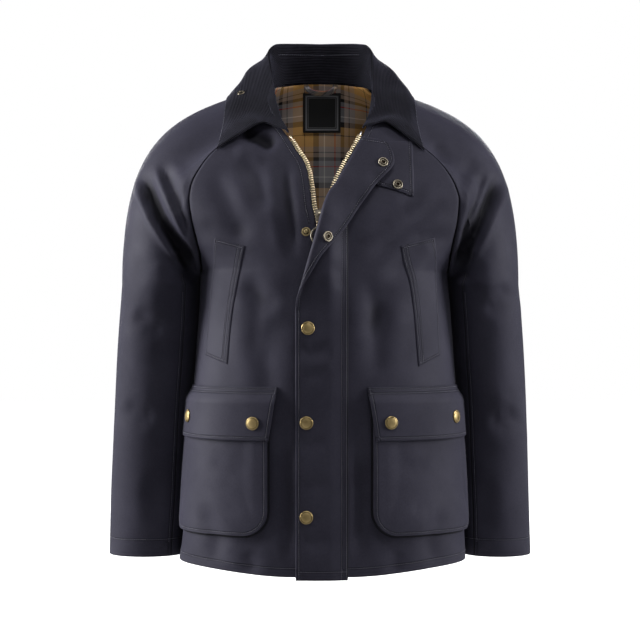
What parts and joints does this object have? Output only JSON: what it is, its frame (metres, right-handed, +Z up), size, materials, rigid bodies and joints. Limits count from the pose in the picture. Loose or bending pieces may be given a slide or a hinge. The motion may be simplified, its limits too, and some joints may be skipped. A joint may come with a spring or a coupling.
{
  "type": "waxed cotton jacket",
  "caption": "Hip-length waxed cotton jacket with raglan sleeves, corduroy collar, brass zip, snapped storm flap and bellows patch pockets, in its hollow worn form.",
  "frame": {"origin": "middle of the neck, where the wearer's shoulders and neck carry the jacket", "axes": "+Z up along the standing wearer, -Y the jacket's front, +X the wearer's left"},
  "size_m": [0.607, 0.2807, 0.7536],
  "materials": {
    "shell": "navy waxed cotton with a soft sheen",
    "corduroy": "dark navy corduroy pile",
    "lining": "checked woven cotton",
    "label": "black woven label with a plain grey border",
    "tape": "woven zip tape",
    "brass": "aged brass",
    "steel": "bare nickel-coloured metal"
  },
  "bodies": {
    "root": {"front_right": "shell", "sleeve_right": "shell", "pocket_right": "shell", "pocket_gusset_right": "shell", "pocket_flap_right": "shell", "chest_welt_right": "shell", "zip_tape_right": "tape", "zip_teeth_right": "brass", "zip_stop_right": "steel", "pocket_cap_right_1": "brass", "pocket_cap_right_2": "brass", "front_left": "shell", "sleeve_left": "shell", "pocket_left": "shell", "pocket_gusset_left": "shell", "pocket_flap_left": "shell", "chest_welt_left": "shell", "zip_tape_left": "tape", "zip_teeth_left": "brass", "zip_stop_left": "steel", "pocket_cap_left_1": "brass", "pocket_cap_left_2": "brass", "back": "shell", "collar": "corduroy", "storm_flap": "shell", "throat_tab": "shell", "lining_back": "lining", "neck_label": "label", "hanger_loop": "lining", "flap_cap_1": "brass", "flap_cap_2": "brass", "flap_cap_3": "brass", "flap_socket_1": "brass", "flap_socket_2": "brass", "tab_socket": "brass", "chest_stud": "brass", "collar_eyelet": "brass", "zip_slider": "brass"},
    "zip_pull": {"pull_strap": "brass", "pull_ring": "brass"}
  },
  "joints": [
    {"name": "zip_pull_hinge", "type": "hinge", "parent": "root", "child": "zip_pull", "pos_m": [0, -0.12524, -0.1689], "axis": [-1, 0, 0], "range_deg": [0, 10]}
  ]
}
